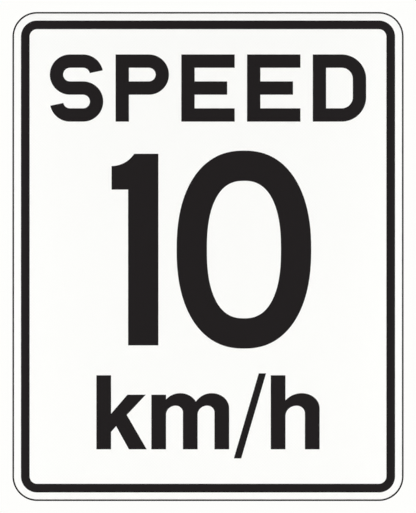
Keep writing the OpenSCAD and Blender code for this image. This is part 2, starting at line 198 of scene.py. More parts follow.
class Value:
    """One output of a shader's node. Arithmetic on it adds Math nodes."""

    def __init__(self, shader, socket):
        self.shader = shader
        self.socket = socket

    def math(self, operation, *values):
        return self.shader.node("Math", {"operation": operation}, dict(enumerate(values)))

    def __add__(self, other):
        return self.math("ADD", self, other)

    def __sub__(self, other):
        return self.math("SUBTRACT", self, other)

    def __rsub__(self, other):
        return self.math("SUBTRACT", other, self)

    def __mul__(self, other):
        return self.math("MULTIPLY", self, other)

    def __truediv__(self, other):
        return self.math("DIVIDE", self, other)

    def __abs__(self):
        return self.math("ABSOLUTE", self)

    __radd__ = __add__
    __rmul__ = __mul__

    def fraction(self):
        return self.math("FRACT", self)

    def sine(self):
        return self.math("SINE", self)

    def or_more(self, other):
        return self.math("MAXIMUM", self, other)

    def step(self, low, high):
        """0 below low, 1 above high, and smooth between them."""
        return self.shader.node("MapRange", {"interpolation_type": "SMOOTHSTEP"},
                                {"Value": self, "From Min": low, "From Max": high})


class Shader:
    """A node tree that is built from calls."""

    def __init__(self, tree):
        self.tree = tree
        self.tree.nodes.clear()
        self.coordinates = {}

    def add(self, kind, settings=None, inputs=None):
        """A node of this kind, with its settings made first and its inputs set or linked."""
        node = self.tree.nodes.new("ShaderNode" + kind)
        for name, setting in (settings or {}).items():
            setattr(node, name, setting)
        for key, value in (inputs or {}).items():
            if isinstance(value, Value):
                self.tree.links.new(value.socket, node.inputs[key])
            else:
                node.inputs[key].default_value = value
        return node

    def node(self, kind, settings=None, inputs=None, output=0):
        return Value(self, self.add(kind, settings, inputs).outputs[output])

    def coordinate(self, name):
        """Object is a place in metres, Normal a surface's direction, Generated the surround's."""
        if name not in self.coordinates:
            self.coordinates[name] = self.node("TexCoord", output=name)
        return self.coordinates[name]

    def along(self, direction, name="Object"):
        """How far a place or a direction reaches along another direction."""
        return self.node("VectorMath", {"operation": "DOT_PRODUCT"},
                         {0: self.coordinate(name), 1: direction}, output="Value")

    def stretched(self, scale):
        """The place, with each axis scaled by itself."""
        return self.node("VectorMath", {"operation": "MULTIPLY"},
                         {0: self.coordinate("Object"), 1: scale})

    def distance_from(self, point, axes):
        """The distance from a point, counted along the marked axes only."""
        away = self.node("VectorMath", {"operation": "SUBTRACT"},
                         {0: self.stretched(axes), 1: point})
        return self.node("VectorMath", {"operation": "LENGTH"}, {0: away}, output="Value")

    def noise(self, scale, detail=3, stretch=(1, 1, 1), roughness=0.5):
        """Noise from 0 to 1 with grains of 1 / scale metres, drawn out where stretch is low."""
        return self.node("TexNoise", {"noise_dimensions": "3D"},
                         {"Vector": self.stretched(tuple(scale * s for s in stretch)),
                          "Scale": 1.0, "Detail": detail, "Roughness": roughness})

    def mix(self, factor, low, high):
        """A colour between low, at factor 0, and high, at factor 1."""
        return self.node("Mix", {"data_type": "RGBA"},
                         {"Factor": factor, "A": (*low, 1), "B": (*high, 1)}, output="Result")

    def bump(self, height, distance, strength):
        """A normal from a height of 0 to 1 that stands for this distance in metres."""
        return self.node("Bump", None,
                         {"Height": height, "Distance": distance, "Strength": strength})


def shaded(paint, factor):
    """A colour made darker or lighter by a factor."""
    return tuple(min(1.0, c * factor) for c in paint)


def tinted(paint, tint):
    """A colour with its red, green and blue each scaled by the tint's."""
    return tuple(c * t for c, t in zip(paint, tint))


def material(name, surface, *values):
    """A material of this name, whose Principled inputs are what surface(shader, *values) gives."""
    made = bpy.data.materials.new(name)
    made.use_nodes = True
    shader = Shader(made.node_tree)
    principled = shader.node("BsdfPrincipled", None, surface(shader, *values))
    shader.add("OutputMaterial", None, {"Surface": principled})
    return made


def sheeting_surface(shader, settings):
    """White prismatic sheeting: fine diamond cells under a clear, slightly glossy face."""
    ribs = [abs((shader.along(way) / settings.cell).fraction() - 0.5) * 2
            for way in ((0.70711, 0, 0.70711), (0.70711, 0, -0.70711))]
    rib = ribs[0].or_more(ribs[1]).step(0.80, 0.98)
    prisms = shader.noise(2600, detail=1)
    clouds = shader.noise(7, detail=2)
    tone = 0.6 * rib + 0.2 * prisms + 0.2 * clouds
    return {
        "Base Color": shader.mix(tone, settings.white, shaded(settings.white, 0.945)),
        "Roughness": 0.27 + 0.14 * rib + 0.06 * clouds,
        "Specular IOR Level": 0.35,
        "Normal": shader.bump(1 - rib + 0.3 * prisms, 0.02 * MM, 0.6),
    }


def film_surface(shader, settings):
    """Black cut film: even and matt, with the faint texture of its casting."""
    grain = shader.noise(3800, detail=2)
    clouds = shader.noise(16, detail=3)
    return {
        "Base Color": shader.mix(0.5 * grain + 0.5 * clouds, shaded(settings.black, 0.9),
                                 shaded(settings.black, 1.12)),
        "Roughness": 0.50 + 0.08 * clouds + 0.05 * grain,
        "Specular IOR Level": 0.16,
        "Normal": shader.bump(grain, 0.008 * MM, 0.5),
    }


def rolled_surface(shader, settings):
    """The plate's bare back: a rolling grain, handling smudges and a few hair scratches."""
    grain = shader.noise(900, detail=4, stretch=(1, 1, 0.012))
    coarse = shader.noise(130, detail=3, stretch=(1, 1, 0.02))
    smudge = shader.noise(9, detail=4, roughness=0.6).step(0.42, 0.72)
    hairs = shader.noise(210, detail=0, stretch=(1, 0.3, 0.035))
    hair = (1 - abs(hairs - 0.5) * 60).or_more(0) * shader.noise(14, detail=1).step(0.55, 0.7)
    tone = 0.45 * grain + 0.4 * coarse + 0.15 * smudge
    return {
        "Base Color": shader.mix(tone, settings.metal, shaded(settings.metal, 0.84)),
        "Metallic": 1.0,
        "Roughness": 0.33 + 0.07 * smudge + 0.10 * grain + 0.10 * coarse - 0.1 * hair,
        "Normal": shader.bump(grain - 0.8 * hair, 0.012 * MM, 0.5),
    }


def extruded_surface(shader, metal, length_axis):
    """Extruded aluminium: die lines along its length, and the arcs of a saw blade on its ends."""
    saw_pitch = 0.95 * MM
    saw_centre = tuple(0 if along else 0.152 for along in length_axis)
    across = tuple(0 if along else 1 for along in length_axis)
    drawn_out = tuple(0.015 if along else 1 for along in length_axis)
    fine = shader.noise(1300, detail=4, stretch=drawn_out).step(0.3, 0.7)
    broad = shader.noise(230, detail=3, stretch=drawn_out).step(0.32, 0.68)
    stain = shader.noise(38, detail=4, roughness=0.6).step(0.45, 0.8)
    end = abs(shader.along(length_axis, "Normal")).step(0.80, 0.95)
    swing = shader.distance_from(saw_centre, across)
    waver = 3 * shader.noise(240, detail=2)
    saw = (swing * (2 * math.pi / saw_pitch) + waver).sine()
    saw = saw * 0.5 + 0.5
    lines = 0.6 * fine + 0.4 * broad
    height = lines * (1 - end) + (0.7 * saw + 0.3 * shader.noise(1500, detail=2)) * end
    tone = (0.5 * lines + 0.3 * stain) * (1 - end) + (0.2 + 0.45 * saw + 0.25 * stain) * end
    return {
        "Base Color": shader.mix(tone, metal, shaded(metal, 0.74)),
        "Metallic": 1.0,
        "Roughness": 0.27 + 0.15 * lines + 0.12 * stain + 0.12 * end,
        "Normal": shader.bump(height, 0.03 * MM, 0.7),
    }


def zinc_surface(shader, settings):
    """Bright zinc plating with its faint cloudy passivation."""
    clouds = shader.noise(170, detail=4)
    crystals = shader.noise(2600, detail=2)
    straw = tinted(settings.zinc, (1.0, 0.96, 0.87))
    blue = tinted(settings.zinc, (0.93, 0.98, 1.06))
    return {
        "Base Color": shader.mix(clouds.step(0.3, 0.7), straw, blue),
        "Metallic": 1.0,
        "Roughness": 0.24 + 0.16 * clouds + 0.06 * crystals,
        "Normal": shader.bump(crystals, 0.01 * MM, 0.5),
    }


def foam_surface(shader, settings):
    """Closed-cell bonding foam, open where it was slit."""
    cells = shader.noise(4200, detail=2)
    clouds = shader.noise(60, detail=3)
    return {
        "Base Color": shader.mix(0.6 * cells + 0.4 * clouds, shaded(settings.tape, 0.7),
                                 shaded(settings.tape, 1.5)),
        "Roughness": 0.80 + 0.12 * clouds,
        "Normal": shader.bump(cells, 0.09 * MM, 0.8),
    }


def moulded_surface(shader, settings):
    """Black moulded plastic with a spark-eroded face."""
    grain = shader.noise(2100, detail=3)
    flow = shader.noise(75, detail=2, stretch=(1, 1, 0.4))
    return {
        "Base Color": shader.mix(flow, shaded(settings.plastic, 0.85),
                                 shaded(settings.plastic, 1.35)),
        "Roughness": 0.44 + 0.14 * grain + 0.08 * flow,
        "Normal": shader.bump(grain, 0.03 * MM, 0.7),
    }


def floor_surface(shader, settings):
    """A pale matt studio floor that fades out before its rim."""
    clouds = shader.noise(1.1, detail=3)
    grain = shader.noise(220, detail=2)
    away = shader.distance_from((0, 0, 0), (1, 1, 0)) / settings.floor_radius
    return {
        "Alpha": 1 - away.step(0.35, 0.97),
        "Base Color": shader.mix(0.6 * clouds + 0.4 * grain, settings.floor,
                                 shaded(settings.floor, 0.97)),
        "Roughness": 0.86 + 0.06 * grain,
        "Specular IOR Level": 0.2,
    }


def finish_nodes(names, made):
    """Gives nodes of the frame a material."""
    for name in names:
        mesh = frame["nodes"][name].data
        mesh.materials.clear()
        mesh.materials.append(made)


# ---------------- outlines


def polar(radius, degrees):
    angle = math.radians(degrees)
    return Vector((radius * math.cos(angle), radius * math.sin(angle)))


def arc(radius, start, end, steps):
    """Points on an arc about the origin, with its angles in degrees."""
    return [polar(radius, start + (end - start) * i / steps) for i in range(steps + 1)]


def toothed_arc(radius, start, end, pitch, depth):
    """An arc about the origin whose teeth end on the radius, with grooves cut behind it."""
    count = round(math.radians(abs(end - start)) * radius / pitch)
    turn = (end - start) / count
    half_groove = 0.34 * turn
    points = []
    for i in range(count):
        middle = start + turn * (i + 0.5)
        points += [polar(radius, middle - half_groove), polar(radius + depth, middle),
                   polar(radius, middle + half_groove)]
    return [polar(radius, start), *points, polar(radius, end)]


def rounded(corners, step=12):
    """A closed outline through corners (x, y, radius). Its arcs turn up to step degrees a point."""
    outline = []
    for i, (x, y, radius) in enumerate(corners):
        here = Vector((x, y))
        if radius == 0:
            outline.append(here)
            continue
        before = (Vector(corners[i - 1][:2]) - here).normalized()
        after = (Vector(corners[(i + 1) % len(corners)][:2]) - here).normalized()
        half = before.angle(after) / 2
        reach = radius / math.tan(half)
        centre = here + (before + after).normalized() * (radius / math.sin(half))
        first = here + before * reach - centre
        last = here + after * reach - centre
        start = math.atan2(first.y, first.x)
        sweep = math.remainder(math.atan2(last.y, last.x) - start, 2 * math.pi)
        steps = max(2, math.ceil(math.degrees(abs(sweep)) / step))
        for k in range(steps + 1):
            angle = start + sweep * k / steps
            outline.append(centre + radius * Vector((math.cos(angle), math.sin(angle))))
    return outline


def fixed(points):
    """Points as corners that stay as they are."""
    return [(p.x, p.y, 0) for p in points]


def mirrored_x(corners):
    """The corners' mirror images on the section's other x side, in the outline's order."""
    return [(-x, y, radius) for x, y, radius in reversed(corners)]


def mirrored_y(corners):
    """The corners' mirror images on the section's other y side, in the outline's order."""
    return [(x, -y, radius) for x, y, radius in reversed(corners)]


def shifted(outline, x, y):
    return [point + Vector((x, y)) for point in outline]


def rectangle(width, height, radius, step=3):
    x, y = width / 2, height / 2
    return rounded([(-x, -y, radius), (x, -y, radius), (x, y, radius), (-x, y, radius)], step)


def inset(outline, distance):
    """The outline moved into the material, which lies to the left of each step along it."""
    least_share = 0.3
    moved = []
    for i, here in enumerate(outline):
        first = (here - outline[i - 1]).normalized()
        second = (outline[(i + 1) % len(outline)] - here).normalized()
        sides = [Vector((-way.y, way.x)) for way in (first, second)]
        share = max(least_share, 1 + sides[0].dot(sides[1]))
        moved.append(here + (sides[0] + sides[1]) * (distance / share))
    return moved


def round_edge(radius, steps=3):
    """An end's profile, as (inset, depth) pairs from its flat face outwards."""
    angles = [math.pi / 2 * i / steps for i in range(steps + 1)]
    return [(radius * (1 - math.sin(a)), radius * (1 - math.cos(a))) for a in angles]


# ---------------- meshes


def smooth(mesh):
    """Makes the faces smooth, and the edges sharp where the surface turns."""
    mesh.shade_smooth()
    mesh.set_sharp_from_angle(angle=SHARP)


def finished(name, bm, made):
    """An object from a bmesh, with its points welded and its faces turned outwards."""
    bmesh.ops.remove_doubles(bm, verts=bm.verts, dist=WELD)
    bmesh.ops.dissolve_degenerate(bm, edges=bm.edges, dist=WELD / 10)
    bmesh.ops.recalc_face_normals(bm, faces=bm.faces)
    mesh = bpy.data.meshes.new(name)
    bm.to_mesh(mesh)
    bm.free()
    smooth(mesh)
    mesh.materials.append(made)
    piece = bpy.data.objects.new(name, mesh)
    bpy.context.scene.collection.objects.link(piece)
    return piece


def add_prism(bm, outlines, axes, low, high, low_end, high_end):
    """Adds a solid of one section: an anticlockwise outline, and clockwise ones for its holes.

    low_end and high_end are profiles, as (inset, depth) pairs from the end's face outwards.
    """
    levels = [(inset_by, low + depth) for inset_by, depth in low_end]
    levels += [(inset_by, high - depth) for inset_by, depth in reversed(high_end)]
    rings = []
    for inset_by, height in levels:
        rings.append([
            [bm.verts.new(axes @ Vector((p.x, p.y, height))) for p in inset(outline, inset_by)]
            for outline in outlines
        ])
    for lower, upper in zip(rings, rings[1:]):
        for bottom, top in zip(lower, upper):
            for i in range(len(bottom)):
                bm.faces.new((bottom[i - 1], bottom[i], top[i], top[i - 1]))
    for inset_by, ring in ((levels[0][0], rings[0]), (levels[-1][0], rings[-1])):
        flat = [[Vector((*p, 0)) for p in inset(outline, inset_by)] for outline in outlines]
        corners = [v for loop in ring for v in loop]
        for triangle in tessellate_polygon(flat):
            bm.faces.new([corners[i] for i in triangle])


def add_spin(bm, section, angles, centre, closed=True, wrap=True):
    """Adds a solid turned about a line along Y through centre.

    section(angle) gives (radius, y) points, closed into a loop or open from axis to axis. Without
    wrap, the solid has two ends.
    """
    rings = []
    for degrees in angles:
        angle = math.radians(degrees)
        rings.append([
            bm.verts.new(centre + Vector((r * math.cos(angle), y, r * math.sin(angle))))
            for r, y in section(degrees)
        ])
    for i in range(0 if wrap else 1, len(rings)):
        last, here = rings[i - 1], rings[i]
        for k in range(0 if closed else 1, len(here)):
            bm.faces.new((last[k - 1], last[k], here[k], here[k - 1]))
    if not wrap:
        bm.faces.new(rings[0])
        bm.faces.new(list(reversed(rings[-1])))


def add_length(bm, outline, start, stop, start_end, stop_end):
    """Adds a solid of one section along X, between two places in either order."""
    (low, low_end), (high, high_end) = sorted(
        [(start, start_end), (stop, stop_end)], key=lambda end: end[0])
    add_prism(bm, [outline], ALONG_X, low, high, low_end, high_end)


def cut_holes(piece, centres, radius, low, high, chamfer):
    """Cuts chamfered round holes along Y through a piece, from low to high."""
    bm = bmesh.new()
    spare = 2 * chamfer
    section = [(0, low - spare), (radius + chamfer, low - spare), (radius + chamfer, low),
               (radius, low + chamfer), (radius, high - chamfer), (radius + chamfer, high),
               (radius + chamfer, high + spare), (0, high + spare)]
    for centre in centres:
        add_spin(bm, lambda angle: section, range(0, 360, 5), centre, closed=False)
    cutter = finished(piece.name + "_cutter", bm, piece.data.materials[0])
    cut = piece.modifiers.new("bolt holes", "BOOLEAN")
    cut.operation = "DIFFERENCE"
    cut.solver = "EXACT"
    cut.object = cutter
    bpy.context.view_layer.update()
    evaluated = piece.evaluated_get(bpy.context.evaluated_depsgraph_get())
    shape = bpy.data.meshes.new_from_object(evaluated)
    piece.modifiers.clear()
    piece.data = shape
    bpy.data.objects.remove(cutter)
    bm = bmesh.new()
    bm.from_mesh(shape)
    bmesh.ops.remove_doubles(bm, verts=bm.verts, dist=WELD)
    bm.to_mesh(shape)
    bm.free()
    smooth(shape)


def chamfer_radius(flats):
    """Radius of the flat circle that a hexagon's chamfer leaves on its face."""
    return 0.95 * flats / 2


def hexagon_radius(degrees, flats, corner):
    """How far a hexagon with rounded corners reaches at an angle. Its corners are at 0, 60, ..."""
    from_flat = abs((degrees % 60) - 30)
    straight = flats / 2 / math.cos(math.radians(from_flat))
    reach = (flats / 2 - corner) / math.cos(math.radians(30))
    from_corner = math.radians(30 - from_flat)
    inside = corner ** 2 - (reach * math.sin(from_corner)) ** 2
    if inside <= 0:
        return straight
    return min(straight, reach * math.cos(from_corner) + math.sqrt(inside))


def hexagon_angles():
    """Angles that fall on the flats and close together at the corners."""
    offsets = [-1.7, -1.1, -0.5, 0, 0.5, 1.1, 1.7] + list(range(5, 56, 5))
    return sorted(60 * k + o for k in range(6) for o in offsets)


def hexagon_drop(degrees, flats, corner):
    """How far a chamfer of 30 degrees lowers a hexagon's edge at an angle."""
    over = hexagon_radius(degrees, flats, corner) - chamfer_radius(flats)
    return over * math.tan(math.radians(30))


def add_thread(bm, centre, settings, low, high):
    """Adds a threaded rod along Y from low to high, with its far end chamfered."""
    radius = settings.thread / 2
    pitch = settings.pitch
    root = radius - 0.613 * pitch
    tip = pitch * 0.65
    columns = 28
    # Each place is a share of the pitch
    profile = [(0.0, root), (0.23, root), (0.5625, radius), (0.6875, radius)]

    def limit(y):
        return radius - max(0.0, y - (high - tip))

    turns = math.ceil((high - low) / pitch) + 2
    lines = []
    for turn in range(turns):
        for place, reach in profile:
            line = []
            for column in range(columns + 1):
                y = low + pitch * (turn - 1 + place + column / columns)
                y = min(max(y, low), high)
                angle = -2 * math.pi * column / columns
                r = min(reach, limit(y)) if low < y < high else limit(y)
                line.append(bm.verts.new(
                    centre + Vector((r * math.cos(angle), y, r * math.sin(angle)))))
            lines.append(line)
    for first, second in zip(lines, lines[1:]):
        for i in range(columns):
            bm.faces.new((first[i], first[i + 1], second[i + 1], second[i]))
    for y in (low, high):
        ring = [bm.verts.new(centre + Vector((limit(y) * math.cos(a), y, limit(y) * math.sin(a))))
                for a in (-2 * math.pi * i / columns for i in range(columns))]
        bm.faces.new(ring)


def bolt_centres(side):
    """The bolts' axes at one clamp, each as a point in the plane y = 0."""
    centres = {}
    for end in ENDS:
        low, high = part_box(f"{side}_nut_{end}")
        middle = (low + high) / 2
        centres[end] = Vector((middle.x, 0, middle.z))
    return centres


# ---------------- operators


class SIGN_OT_plate(bpy.types.Operator):
    """Make the aluminium blank with its deburred edge, and the white sheeting on it"""

    bl_idname = "sign.plate"
    bl_label = "Plate and Sheeting"

    def execute(self, context):
        settings = context.scene.sign_plate
        blank_low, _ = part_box("blank")
        for node, edge, surface, slot in (
            ("blank", settings.edge, rolled_surface, "blank_aluminium"),
            ("sheeting", settings.film_edge, sheeting_surface, "reflective_sheeting"),
        ):
            low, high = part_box(node)
            size = high - low
            radius = settings.corner - (low.x - blank_low.x)
            bm = bmesh.new()
            add_prism(bm, [rectangle(size.x, size.z, radius)], TO_FACE, -high.y, -low.y,
                      round_edge(edge), round_edge(edge))
            plate = finished(f"{node}_sheet", bm, material(slot, surface, settings))
            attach(plate, "panel")
            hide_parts(node)
        return {"FINISHED"}


class SIGN_OT_legend(bpy.types.Operator):
    """Make the edge line, a black film ring of painted shade along the plate's outline, and the
    border, and give all the legend its black film
    """

    bl_idname = "sign.legend"
    bl_label = "Legend"

    def execute(self, context):
        settings = context.scene.sign_plate
        film = material("black_film", film_surface, settings)
        least_radius = 1 * MM
        blank_low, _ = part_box("blank")
        # The edge line paints the shade of the plate's edge as a black film ring; the border is real
        # black film
        for node, width in (("edge_line", settings.line_width), ("border", settings.border_width)):
            low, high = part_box(node)
            size = high - low
            radius = max(settings.corner - (low.x - blank_low.x), least_radius)
            outer = rectangle(size.x, size.z, radius)
            inner = rectangle(size.x - 2 * width, size.z - 2 * width,
                              max(radius - width, least_radius))
            bm = bmesh.new()
            add_prism(bm, [outer, inner[::-1]], TO_FACE, -high.y, -low.y, SQUARE_END,
                      round_edge(settings.film_edge))
            line = finished(f"{node}_film", bm, film)
            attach(line, "panel")
            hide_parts(node)
        finish_nodes(LEGEND_NODES, film)
        return {"FINISHED"}


def rail_section(settings, front, depth, half_width):
    """A rail's section as (y, z): base, walls and lips round an open channel."""
    base = front + settings.base
    back = front + depth
    inner_lip = back - settings.lip
    channel = settings.cavity / 2 + settings.wall
    groove = settings.groove
    mark = (half_width + channel) / 2
    base_round = 0.6 * MM
    wall_round = 0.7 * MM
    lip_round = 0.4 * MM
    lip_inner_round = 0.3 * MM
    cavity_round = 0.25 * MM
    half = [
        (front, -half_width, base_round),
        (base, -half_width, base_round),
        (base, -mark - groove, 0), (base - groove, -mark, 0), (base, -mark + groove, 0),
        (base, -channel, settings.fillet),
        (back, -channel, wall_round),
        (back, -settings.slot / 2, lip_round),
        (inner_lip, -settings.slot / 2, lip_inner_round),
        (inner_lip, -settings.cavity / 2, cavity_round),
        (base, -settings.cavity / 2, cavity_round),
    ]
    return rounded(half + mirrored_y(half))


class SIGN_OT_rails(bpy.types.Operator):
    """Make the two extruded rails, and finish the tape that bonds them"""

    bl_idname = "sign.rails"
    bl_label = "Rails and Tape"

    def execute(self, context):
        settings = context.scene.sign_rails
        metal = material("rail_aluminium", extruded_surface, settings.metal, (1, 0, 0))
        tape = material("bonding_tape", foam_surface, settings)
        sawn = round_edge(settings.sawn_edge)
        for side in SIDES:
            low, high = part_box(f"{side}_rail")
            middle = (low.z + high.z) / 2
            section = rail_section(settings, low.y, high.y - low.y, (high.z - low.z) / 2)
            bm = bmesh.new()
            add_length(bm, shifted(section, 0, middle), low.x, high.x, sawn, sawn)
            rail = finished(f"{side}_extruded_rail", bm, metal)
            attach(rail, "panel")
            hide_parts(f"{side}_rail")
        finish_nodes([f"{side}_tapes" for side in SIDES], tape)
        return {"FINISHED"}


class SIGN_OT_end_caps(bpy.types.Operator):
    """Make the moulded caps in the rails' ends"""

    bl_idname = "sign.end_caps"
    bl_label = "End Caps"

    def execute(self, context):
        settings = context.scene.sign_rails
        plastic = material("cap_plastic", moulded_surface, settings)
        for side in SIDES:
            low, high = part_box(f"{side}_end_caps")
            rail_low, rail_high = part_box(f"{side}_rail")
            cover = self.cover_outline(settings, low, high)
            tongue = self.tongue_outline(settings, low, high)
            bm = bmesh.new()
            for rail_end, outwards in ((rail_low.x, -1), (rail_high.x, 1)):
                self.add_cap(bm, settings, cover, tongue, rail_end, outwards)
            caps = finished(f"{side}_moulded_caps", bm, plastic)
            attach(caps, "panel")
            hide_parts(f"{side}_end_caps")
        return {"FINISHED"}

    def cover_outline(self, settings, low, high):
        """The cover's outline as (y, z), which follows the outside of the rail."""
        base = low.y + settings.base
        channel = settings.cavity / 2 + settings.wall
        half_width = (high.z - low.z) / 2
        base_round = 0.7 * MM
        wall_round = 0.9 * MM
        half = [(low.y, -half_width, base_round), (base, -half_width, base_round),
                (base, -channel, settings.fillet), (high.y, -channel, wall_round)]
        return shifted(rounded(half + mirrored_y(half)), 0, (low.z + high.z) / 2)

    def tongue_outline(self, settings, low, high):
        """The tongue's outline as (y, z): it fills the channel, with a groove behind the slot."""
        front = low.y + settings.base + settings.play
        back = high.y - settings.lip - settings.play
        side = settings.cavity / 2 - settings.play
        groove_mouth = 2.6 * MM
        groove_floor = 2.2 * MM
        groove_depth = 1.5 * MM
        side_round = 0.5 * MM
        mouth_round = 0.3 * MM
        floor_round = 0.4 * MM
        half = [(front, -side, side_round), (back, -side, side_round),
                (back, -groove_mouth, mouth_round),
                (back - groove_depth, -groove_floor, floor_round)]
        return shifted(rounded(half + mirrored_y(half)), 0, (low.z + high.z) / 2)

    def add_cap(self, bm, settings, cover, tongue, rail_end, outwards):
        """Adds one cap: a cover with a sunk face on the rail's end, and a tongue in the channel."""
        rim = 0.86 * MM
        rim_slope = 0.12 * MM
        rim_round = 0.45 * MM
        sunk = 0.32 * MM
        joint_round = 0.1 * MM
        tip_round = 0.8 * MM
        sunk_face = [(rim + rim_slope, sunk), (rim, 0), *round_edge(rim_round)]
        add_length(bm, cover, rail_end, rail_end + outwards * settings.cover,
                   round_edge(joint_round), sunk_face)
        add_length(bm, tongue, rail_end, rail_end - outwards * settings.tongue,
                   SQUARE_END, round_edge(tip_round))


def saddle_outlines(settings, rail_back, half_width):
    """The saddle's section as (x, y): its outside, and the two pockets beside the cradle."""
    outer = POST_RADIUS + settings.cradle
    foot = rail_back + settings.foot
    web_outer = outer * math.sin(math.radians(settings.wrap)) - settings.web_inset
    web_inner = web_outer - settings.web
    foot_round = 0.5 * MM
    web_round = 1.2 * MM
    pocket_round = 0.8 * MM
    pocket_tip_round = 0.35 * MM

    right_horn = settings.wrap - 90
    left_horn = -90 - settings.wrap
    horn_centre = polar(POST_RADIUS + settings.cradle / 2, right_horn)
    horn = [horn_centre + polar(settings.cradle / 2, right_horn + turn)
            for turn in range(15, 166, 15)]
    web_meets = -math.degrees(math.acos(web_outer / outer))
    right = [
        (half_width, rail_back, foot_round), (half_width, foot, settings.corner),
        (web_outer, foot, web_round), *fixed(arc(outer, web_meets, right_horn, 5) + horn),
    ]
    grip = fixed(toothed_arc(POST_RADIUS, right_horn, left_horn, settings.tooth,
                             settings.tooth_depth))
    outside = rounded(right + grip + mirrored_x(right))

    meets_foot = 270 + math.degrees(math.acos(-foot / outer))
    meets_web = 270 + math.degrees(math.asin(web_inner / outer))
    curve = arc(outer, meets_foot, meets_web, 8)
    pocket = rounded([
        (web_inner, foot, pocket_round), (*curve[0], pocket_tip_round), *fixed(curve[1:-1]),
        (*curve[-1], pocket_tip_round),
    ])
    other_pocket = [Vector((-p.x, p.y)) for p in reversed(pocket)]
    return [outside, pocket, other_pocket]


def jaw_outline(settings, half_width):
    """The jaw's section as (x, y): half a ring with straight legs and two flanges."""
    outer = POST_RADIUS + settings.jaw
    inner = POST_RADIUS + settings.leg_play
    front = -settings.leg
    back = front + settings.flange
    leg_round = 0.6 * MM
    flange_round = 0.5 * MM
    right = [
        (inner, 0, 0), (inner, front, leg_round), (half_width, front, flange_round),
        (half_width, back, settings.corner), (outer, back, settings.jaw_fillet),
    ]
    ring_starts = 6
    grip_starts = 4
    ring = fixed(arc(outer, ring_starts, 180 - ring_starts, 56))
    grip = fixed(toothed_arc(POST_RADIUS, 180 - grip_starts, grip_starts, settings.tooth,
                             settings.tooth_depth))
    return rounded(right + ring + mirrored_x(right) + grip)


class SIGN_OT_saddles(bpy.types.Operator):
    """Make the clamps' front halves, with teeth in the cradle and sawn ends"""

    bl_idname = "sign.saddles"
    bl_label = "Saddles"

    def execute(self, context):
        settings = context.scene.sign_clamps
        metal = material("saddle_aluminium", extruded_surface, settings.metal, (0, 0, 1))
        sawn = round_edge(settings.sawn_edge)
        for side in SIDES:
            low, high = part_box(f"{side}_saddle")
            bm = bmesh.new()
            add_prism(bm, saddle_outlines(settings, low.y, high.x), ALONG_Z, low.z, high.z,
                      sawn, sawn)
            saddle = finished(f"{side}_toothed_saddle", bm, metal)
            cut_holes(saddle, bolt_centres(side).values(), settings.hole / 2, low.y,
                      low.y + settings.foot, settings.hole_chamfer)
            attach(saddle, f"{side}_clamp")
            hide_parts(f"{side}_saddle")
        return {"FINISHED"}


class SIGN_OT_jaws(bpy.types.Operator):
    """Make the clamps' rear halves, with teeth round the post and sawn ends"""

    bl_idname = "sign.jaws"
    bl_label = "Jaws"

    def execute(self, context):
        settings = context.scene.sign_clamps
        metal = material("jaw_aluminium", extruded_surface, settings.metal, (0, 0, 1))
        sawn = round_edge(settings.sawn_edge)
        for side in SIDES:
            low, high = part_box(f"{side}_jaw")
            bm = bmesh.new()
            add_prism(bm, [jaw_outline(settings, high.x)], ALONG_Z, low.z, high.z, sawn, sawn)
            jaw = finished(f"{side}_toothed_jaw", bm, metal)
            cut_holes(jaw, bolt_centres(side).values(), settings.hole / 2, low.y,
                      low.y + settings.flange, settings.hole_chamfer)
            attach(jaw, f"{side}_clamp_jaw")
            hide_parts(f"{side}_jaw")
        return {"FINISHED"}


class SIGN_OT_bolts(bpy.types.Operator):
    """Make the hexagon-headed bolts with their rolled threads"""

    bl_idname = "sign.bolts"
    bl_label = "Bolts"

    def execute(self, context):
        settings = context.scene.sign_fasteners
        zinc = material("zinc_bolts", zinc_surface, settings)
        thread_in_head = 0.5 * MM
        for side in SIDES:
            low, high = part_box(f"{side}_bolts")
            flats = high.z - low.z
            bm = bmesh.new()
            for centre in bolt_centres(side).values():
                self.add_head(bm, settings, centre, flats, low.y)
                add_thread(bm, centre, settings, low.y + settings.head - thread_in_head, high.y)
            bolts = finished(f"{side}_threaded_bolts", bm, zinc)
            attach(bolts, f"{side}_clamp")
            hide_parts(f"{side}_bolts")
        return {"FINISHED"}

    def add_head(self, bm, settings, centre, flats, low):
        """Adds a head with its chamfered and dished outer face at low."""
        rim = chamfer_radius(flats)
        dish_edge = 0.80 * rim
        dish_floor = 0.72 * rim
        dish = 0.25 * MM
        high = low + settings.head

        def section(angle):
            reach = hexagon_radius(angle, flats, settings.hex_corner)
            drop = hexagon_drop(angle, flats, settings.hex_corner)
            return [(0, low + dish), (dish_floor, low + dish), (dish_edge, low), (rim, low),
                    (reach, low + drop), (reach, high), (0, high)]

        add_spin(bm, section, hexagon_angles(), centre, closed=False)


class SIGN_OT_nuts(bpy.types.Operator):
    """Make the chamfered nuts"""

    bl_idname = "sign.nuts"
    bl_label = "Nuts"

    def execute(self, context):
        settings = context.scene.sign_fasteners
        zinc = material("zinc_nuts", zinc_surface, settings)
        for side in SIDES:
            for end, centre in bolt_centres(side).items():
                low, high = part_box(f"{side}_nut_{end}")
                bm = bmesh.new()
                self.add_nut(bm, settings, centre, high.z - low.z, low.y, high.y)
                nut = finished(f"{side}_{end}_chamfered_nut", bm, zinc)
                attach(nut, f"{side}_{end}_nut")
                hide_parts(f"{side}_nut_{end}")
        return {"FINISHED"}

    def add_nut(self, bm, settings, centre, flats, low, high):
        """Adds a nut that is chamfered and countersunk on both faces."""
        rim = chamfer_radius(flats)
        bore = settings.nut_bore / 2
        sink = 0.35 * MM

        def section(angle):
            reach = hexagon_radius(angle, flats, settings.hex_corner)
            drop = hexagon_drop(angle, flats, settings.hex_corner)
            return [(bore, low + sink), (bore + sink, low), (rim, low), (reach, low + drop),
                    (reach, high - drop), (rim, high), (bore + sink, high), (bore, high - sink)]

        add_spin(bm, section, hexagon_angles(), centre)


